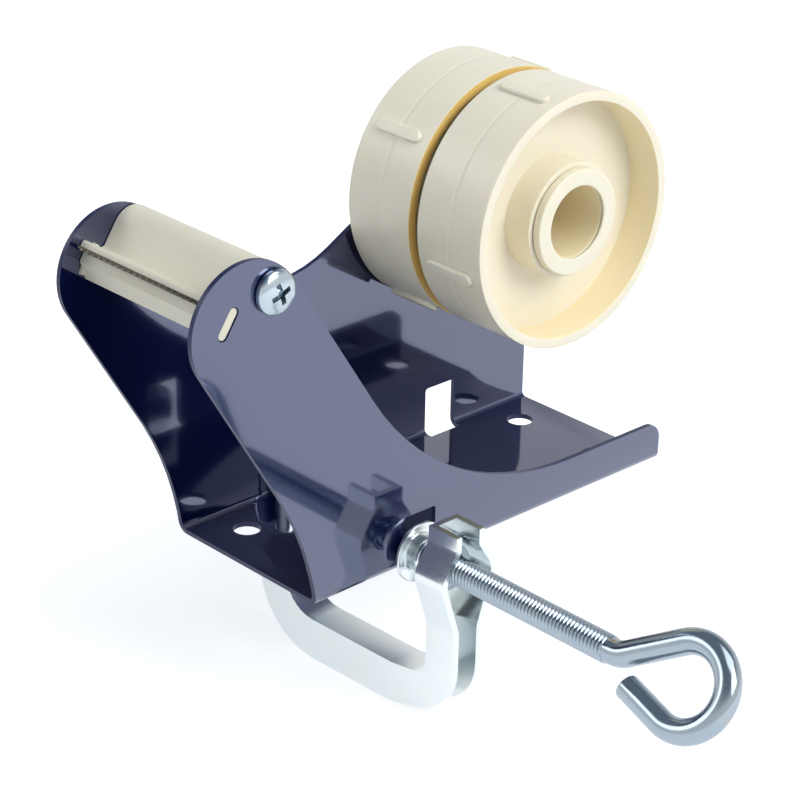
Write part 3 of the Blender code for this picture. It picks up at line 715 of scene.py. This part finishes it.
cage = bmesh.new()
spun(cage, [(0.0, pin_high.z), (pin_radius - pin_chamfer, pin_high.z),
            (pin_radius, pin_high.z - pin_chamfer), (pin_radius, 0.0), (tail_radius, 0.0),
            (tail_radius, tail_top), (tail_head, tail_top), (tail_head, pin_low.z), (0.0, pin_low.z)],
     (pin_axis.x, pin_axis.y, 0.0), along_z, 48)
soften(cage, sharp_edges(cage, 40.0), pin_round, 3)
piece_from(cage, "pin", pressed_zinc, "clamp_pin", ["clamp_pin"])

# %% [markdown]
# ## Pressed C
# The C is one sheet pressed to a channel that opens outwards. The long corners between its web and its
# two flanges are bend corners, so they get a wide round, and the cut edges get a small one.

# %% C of the clamp
clamp_x = middle_of("clamp_nut").x
bow_half = 5.2 * mm
press_round = 1.7 * mm
bow_round = 0.35 * mm
bow_floor_z = -33.0 * mm
bow_arms_y = (-40.2 * mm, 19.9 * mm)


def bend_corners(cage):
    """The long sharp edges on the inside of the C, at the full half width."""
    found = []
    for edge in sharp_edges(cage, 60.0):
        ends = [v.co for v in edge.verts]
        full = all(abs(abs(p.x - clamp_x) - bow_half) < 0.05 * mm for p in ends)
        inside = all(p.z > bow_floor_z and bow_arms_y[0] < p.y < bow_arms_y[1] for p in ends)
        if full and inside:
            found.append(edge)
    return found


cage = welded_copy("clamp_bow")
corners = bend_corners(cage)
print("bend corners", len(corners))
soften(cage, corners, press_round, 5)
bow = piece_from(cage, "pressed_c", pressed_zinc, "clamp_bow", ["clamp_bow"])
roll_edges(bow, bow_round, 3)

# %% Nut in the eye
screw_axis = (clamp_x, 0.0, middle_of("clamp_nut").z)
nut_low, nut_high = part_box("clamp_nut")
collar_radius = 5.2 * mm
collar_flange = 6.5 * mm
collar_bore = 4.3 * mm
flange_top = nut_low.y + 2.0 * mm
collar_round = 0.3 * mm

cage = bmesh.new()
spun(cage, [(collar_radius, nut_high.y), (collar_radius, flange_top), (collar_flange, flange_top),
            (collar_flange, nut_low.y), (collar_bore, nut_low.y), (collar_bore, nut_high.y)],
     screw_axis, along_y, 64, closed=True)
soften(cage, sharp_edges(cage, 60.0), collar_round, 3)
piece_from(cage, "screw_collar", rod_zinc, "clamp_bow", ["clamp_nut"])

# %% [markdown]
# ## Threaded rod and its loop
# A rolled thread is a groove that winds round the rod. One tooth of its outline, a pitch long, is spun
# round the axis and pushed along by one pitch for each turn, so that it meets itself. The plain end of
# the same rod is a ring of points that is pushed straight, spun round each bend and pushed straight
# again.

# %% Thread
rod_radius = 4.0 * mm
thread_root = 3.35 * mm
pitch = 1.25 * mm
rod_end_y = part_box("clamp_screw")[1].y
thread_end_y = -101.9 * mm
spare_turns = 3
turns = int((rod_end_y - thread_end_y) / pitch) + spare_turns
crest_width = 0.8
start_share = 1.5
per_turn = 36
per_pitch = 8

cage = bmesh.new()
chain = []
for step in range(per_pitch + 1):
    along = step / per_pitch
    wave = (0.5 - 0.5 * math.cos(math.tau * along)) ** crest_width
    radius = thread_root + (rod_radius - thread_root) * wave
    groove_y = thread_end_y + (along - start_share) * pitch
    chain.append(cage.verts.new((clamp_x + radius, groove_y, screw_axis[2])))
edges = [cage.edges.new(pair) for pair in zip(chain, chain[1:])]
bmesh.ops.spin(cage, geom=chain + edges, cent=screw_axis, axis=along_y, dvec=(0.0, pitch / per_turn, 0.0),
               angle=math.tau * turns, steps=per_turn * turns, use_merge=False, use_normal_flip=False,
               use_duplicate=False)
bmesh.ops.remove_doubles(cage, verts=cage.verts, dist=weld)
print("thread", turns, "turns,", len(cage.faces), "faces")


# %% Cut the thread to length
def cut_off(cage, y, side):
    """Cut everything past y on one side away and close the cut."""
    cut = bmesh.ops.bisect_plane(cage, geom=cage.verts[:] + cage.edges[:] + cage.faces[:], dist=weld / 20.0,
                                 plane_co=(0.0, y, 0.0), plane_no=(0.0, side, 0.0), clear_outer=True)
    ring = [g for g in cut["geom_cut"] if isinstance(g, bmesh.types.BMEdge)]
    bmesh.ops.holes_fill(cage, edges=ring)


cut_off(cage, rod_end_y, 1.0)
cut_off(cage, thread_end_y, -1.0)
open_edges = sum(1 for e in cage.edges if len(e.link_faces) != 2)
print("open edges after the cuts", open_edges)

# %% Shank, bend and loop
plain_radius = 3.6 * mm
loop_angle = math.radians(57.0)
bend = Vector((8.3, -103.1)) * mm
bend_radius = 8.3 * mm
loop = Vector((0.9, -128.0)) * mm
loop_radius = 11.5 * mm
tail_lean = math.radians(16.0)
tail_length = 14.3 * mm
rod_round = 0.35 * mm
outward = Vector((math.cos(loop_angle), 0.0, math.sin(loop_angle)))
loop_axis = outward.cross(Vector(along_y))


def at(out, y):
    """The place of a point of the loop's plane: how far out from the rod's axis, and its Y."""
    return Vector(screw_axis) + outward * out + Vector((0.0, y, 0.0))


def pushed(cage, ring, step):
    """Extrude an open ring by a step and give back the new ring."""
    made = bmesh.ops.extrude_edge_only(cage, edges=ring)["geom"]
    verts = {g for g in made if isinstance(g, bmesh.types.BMVert)}
    bmesh.ops.translate(cage, verts=list(verts), vec=step)
    return [g for g in made if isinstance(g, bmesh.types.BMEdge) and all(v in verts for v in g.verts)]


def bent(cage, ring, centre, angle, steps):
    """Spin an open ring round a bend and give back the new ring."""
    verts = list({v for e in ring for v in e.verts})
    made = bmesh.ops.spin(cage, geom=verts + ring, cent=centre, axis=loop_axis, dvec=(0.0, 0.0, 0.0),
                          angle=angle, steps=steps, use_merge=False, use_normal_flip=False,
                          use_duplicate=False)["geom_last"]
    return [g for g in made if isinstance(g, bmesh.types.BMEdge)]


between = loop - bend
crossing = math.asin((bend_radius + loop_radius) / between.length)
heading = math.atan2(between.y, between.x) + crossing
leave_bend = heading + math.radians(270.0)
enter_loop = heading + math.radians(90.0)
leave_loop = -math.radians(180.0) - tail_lean
straight = between.length * math.cos(crossing)

rod = bmesh.new()
turned_flat = Matrix.Rotation(math.radians(90.0), 4, "X")
start_y = thread_end_y + pitch
bmesh.ops.create_circle(rod, segments=40, radius=plain_radius, cap_ends=False,
                        matrix=Matrix.Translation(at(0.0, start_y)) @ turned_flat)
ring = pushed(rod, rod.edges[:], Vector((0.0, bend.y - start_y, 0.0)))
ring = bent(rod, ring, at(*bend), leave_bend - math.radians(180.0), 12)
ring = pushed(rod, ring, (outward * math.cos(heading) + Vector(along_y) * math.sin(heading)) * straight)
ring = bent(rod, ring, at(*loop), leave_loop - enter_loop, 72)
rise = outward * math.sin(tail_lean) + Vector(along_y) * math.cos(tail_lean)
ring = pushed(rod, ring, rise * tail_length)
bmesh.ops.remove_doubles(rod, verts=rod.verts, dist=weld)
bmesh.ops.holes_fill(rod, edges=[e for e in rod.edges if len(e.link_faces) == 1])
soften(rod, sharp_edges(rod, 60.0), rod_round, 3)
plain = bpy.data.meshes.new("plain_rod")
rod.to_mesh(plain)
rod.free()
cage.from_mesh(plain)
piece_from(cage, "threaded_rod_and_loop", rod_zinc, "clamp_screw", ["clamp_screw"], 60.0)

# %% [markdown]
# ## Ball and pad
# The rod ends in a ball, and a pressed disc is crimped over it so that it can tilt. The disc is dished:
# its flat middle is seated on the near plate and its rim stands back towards the rod.

# %% Ball
ball_y = -34.3 * mm
ball_radius = 3.4 * mm
neck = 2.1 * mm
neck_y = -3.6 * mm
ball_centre = (clamp_x, ball_y, screw_axis[2])
neck_angle = math.pi - math.asin(neck / ball_radius)
arc = [neck_angle * step / 20 for step in range(21)]
cage = bmesh.new()
spun(cage, [(ball_radius * math.sin(a), ball_radius * math.cos(a)) for a in arc]
     + [(neck, neck_y), (0.0, neck_y)], ball_centre, along_y, 48)
piece_from(cage, "ball_end", rod_zinc, "clamp_ball", ["clamp_ball"])

# %% Pad
pad_low, pad_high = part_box("clamp_pad")
pad_radius = (pad_high.z - pad_low.z) / 2.0
pad_face = pad_high.y - ball_y
crimp_y = pad_low.y - ball_y
pad_sheet = 1.25 * mm
pad_flat = 5.8 * mm
pad_rim = 2.2 * mm
crimp_outer = 5.4 * mm
crimp_inner = 3.95 * mm
pad_back = pad_face - pad_sheet
pad_round = 0.4 * mm

cage = bmesh.new()
spun(cage, [(0.0, pad_face), (pad_flat, pad_face), (pad_radius, pad_rim + pad_sheet), (pad_radius, pad_rim),
            (pad_flat + 0.5 * mm, pad_back), (crimp_outer, pad_back), (crimp_outer, crimp_y),
            (crimp_inner, crimp_y), (crimp_inner, pad_back), (0.0, pad_back)], ball_centre, along_y, 72)
soften(cage, sharp_edges(cage, 35.0), pad_round, 4)
piece_from(cage, "dished_pad", pressed_zinc, "clamp_pad", ["clamp_pad"])

# %% [markdown]
# ## Camera
# The camera stands where the photograph was taken: to the left of the near plate and above it, turned by
# its azimuth, tipped down by its elevation and rolled a little. The lens is long, so the shape stays
# calm.

# %% Camera
azimuth = math.radians(43.5006)
elevation = math.radians(25.0148)
roll = math.radians(1.1559)
forward = Vector((math.sin(azimuth) * math.cos(elevation), math.cos(azimuth) * math.cos(elevation),
                  -math.sin(elevation)))
level = Vector((math.cos(azimuth), -math.sin(azimuth), 0.0))
upright = level.cross(forward)
right = level * math.cos(roll) + upright * math.sin(roll)
up = upright * math.cos(roll) - level * math.sin(roll)
lens = bpy.data.cameras.new("camera")
lens.sensor_width = 36.0
lens.lens = 122.37
lens.clip_end = 20.0
camera = bpy.data.objects.new("camera", lens)
pose = Matrix((right, up, -forward)).transposed().to_4x4()
pose.translation = Vector((-487.14, -501.74, 356.14)) * mm
camera.matrix_world = pose
bpy.context.scene.collection.objects.link(camera)
bpy.context.scene.camera = camera
print("camera", [round(v / mm, 1) for v in camera.location])

# %% [markdown]
# ## Floor, room and lamps
# The object stands on a white table in a pale room. The main soft box stands at the right of the camera,
# low enough to look into the hub, a weaker one at the far left, and a third one hangs above. The room's
# walls are white to the camera and in mirror images, and its ceiling is grey. The table is lifted to
# white in the same way, by less than its full brightness, so that the object's soft shadow stays on it.


# %% What the camera sees, straight or mirrored
def any_sight(tree):
    """An output that is 1 for camera, mirror and glass rays, and 0 for the light that falls on things."""
    path = node(tree, "ShaderNodeLightPath").outputs
    mirrored = node(tree, "ShaderNodeMath", {"operation": "MAXIMUM"},
                    links={0: path["Is Camera Ray"], 1: path["Is Glossy Ray"]})
    return node(tree, "ShaderNodeMath", {"operation": "MAXIMUM"},
                links={0: mirrored.outputs[0], 1: path["Is Transmission Ray"]}).outputs[0]


plain_white = (1.0, 1.0, 1.0, 1.0)
table_paint = (0.8, 0.8, 0.8, 1.0)

# %% White table
table_radius = 6.0
table_lift = 0.55
table_z = solid_box[0].z - 0.2 * mm
table = bmesh.new()
bmesh.ops.create_circle(table, cap_ends=True, segments=96, radius=table_radius)
bmesh.ops.translate(table, verts=table.verts, vec=(0.0, 0.0, table_z))
data = bpy.data.meshes.new("table")
table.to_mesh(data)
table.free()
floor = bpy.data.objects.new("table", data)
bpy.context.scene.collection.objects.link(floor)

white = bpy.data.materials.new("white_table")
white.use_nodes = True
tree = white.node_tree
tree.nodes.remove(tree.nodes["Principled BSDF"])
lift = node(tree, "ShaderNodeMath", {"operation": "MULTIPLY"}, {1: table_lift}, {0: any_sight(tree)})
paint = node(tree, "ShaderNodeBsdfDiffuse", values={"Color": table_paint})
glow = node(tree, "ShaderNodeEmission", values={"Color": plain_white}, links={"Strength": lift.outputs[0]})
both = node(tree, "ShaderNodeAddShader", links={0: paint.outputs[0], 1: glow.outputs[0]})
feed(tree.nodes["Material Output"], links={"Surface": both.outputs[0]})
data.materials.append(white)
print("table lies at", round(table_z / mm, 1), "mm")

# %% Room
room = bpy.data.worlds.new("room")
bpy.context.scene.world = room
room.use_nodes = True
tree = room.node_tree
towards = node(tree, "ShaderNodeTexCoord").outputs["Generated"]
rise = node(tree, "ShaderNodeSeparateXYZ", links={0: towards}).outputs["Z"]
height = node(tree, "ShaderNodeMapRange", values={from_low: 0.30, from_high: 0.65}, links={0: rise})
walls = node(tree, "ShaderNodeMix", colours, {tint_a: plain_white, tint_b: shade("#86919E")},
             {share: height.outputs[0]})
tone = node(tree, "ShaderNodeMix", colours, {tint_a: shade("#9AA3AD")},
            {share: any_sight(tree), tint_b: walls.outputs[mixed]})
feed(tree.nodes["Background"], {"Strength": 1.0}, {"Color": tone.outputs[mixed]})
print("room", room.name, "has", len(tree.nodes), "nodes")


# %% Lamps
lamp_distance = 1.6


def soft_box(name, towards, width, height, watts):
    """A lamp that looks at the object's middle from a turn and a rise in degrees, with sides in metres."""
    turn, rise = (math.radians(a) for a in towards)
    aim = (solid_box[0] + solid_box[1]) / 2.0
    way = Vector((math.sin(turn) * math.cos(rise), math.cos(turn) * math.cos(rise), math.sin(rise)))
    lamp = bpy.data.lights.new(name, "AREA")
    lamp.shape = "RECTANGLE"
    lamp.size = width
    lamp.size_y = height
    lamp.energy = watts
    item = bpy.data.objects.new(name, lamp)
    turned = way.to_track_quat("Z", "Y").to_matrix().to_4x4()
    item.matrix_world = Matrix.Translation(aim + way * lamp_distance) @ turned
    bpy.context.scene.collection.objects.link(item)
    print(name, "at", [round(v, 2) for v in item.location])


soft_box("right_box", (170.0, 36.0), width=0.9, height=0.7, watts=14.0)
soft_box("left_box", (-45.0, 30.0), width=1.2, height=0.55, watts=5.0)
soft_box("top_box", (150.0, 65.0), width=1.2, height=1.2, watts=9.0)

# %% View
bpy.context.scene.view_settings.view_transform = "Standard"
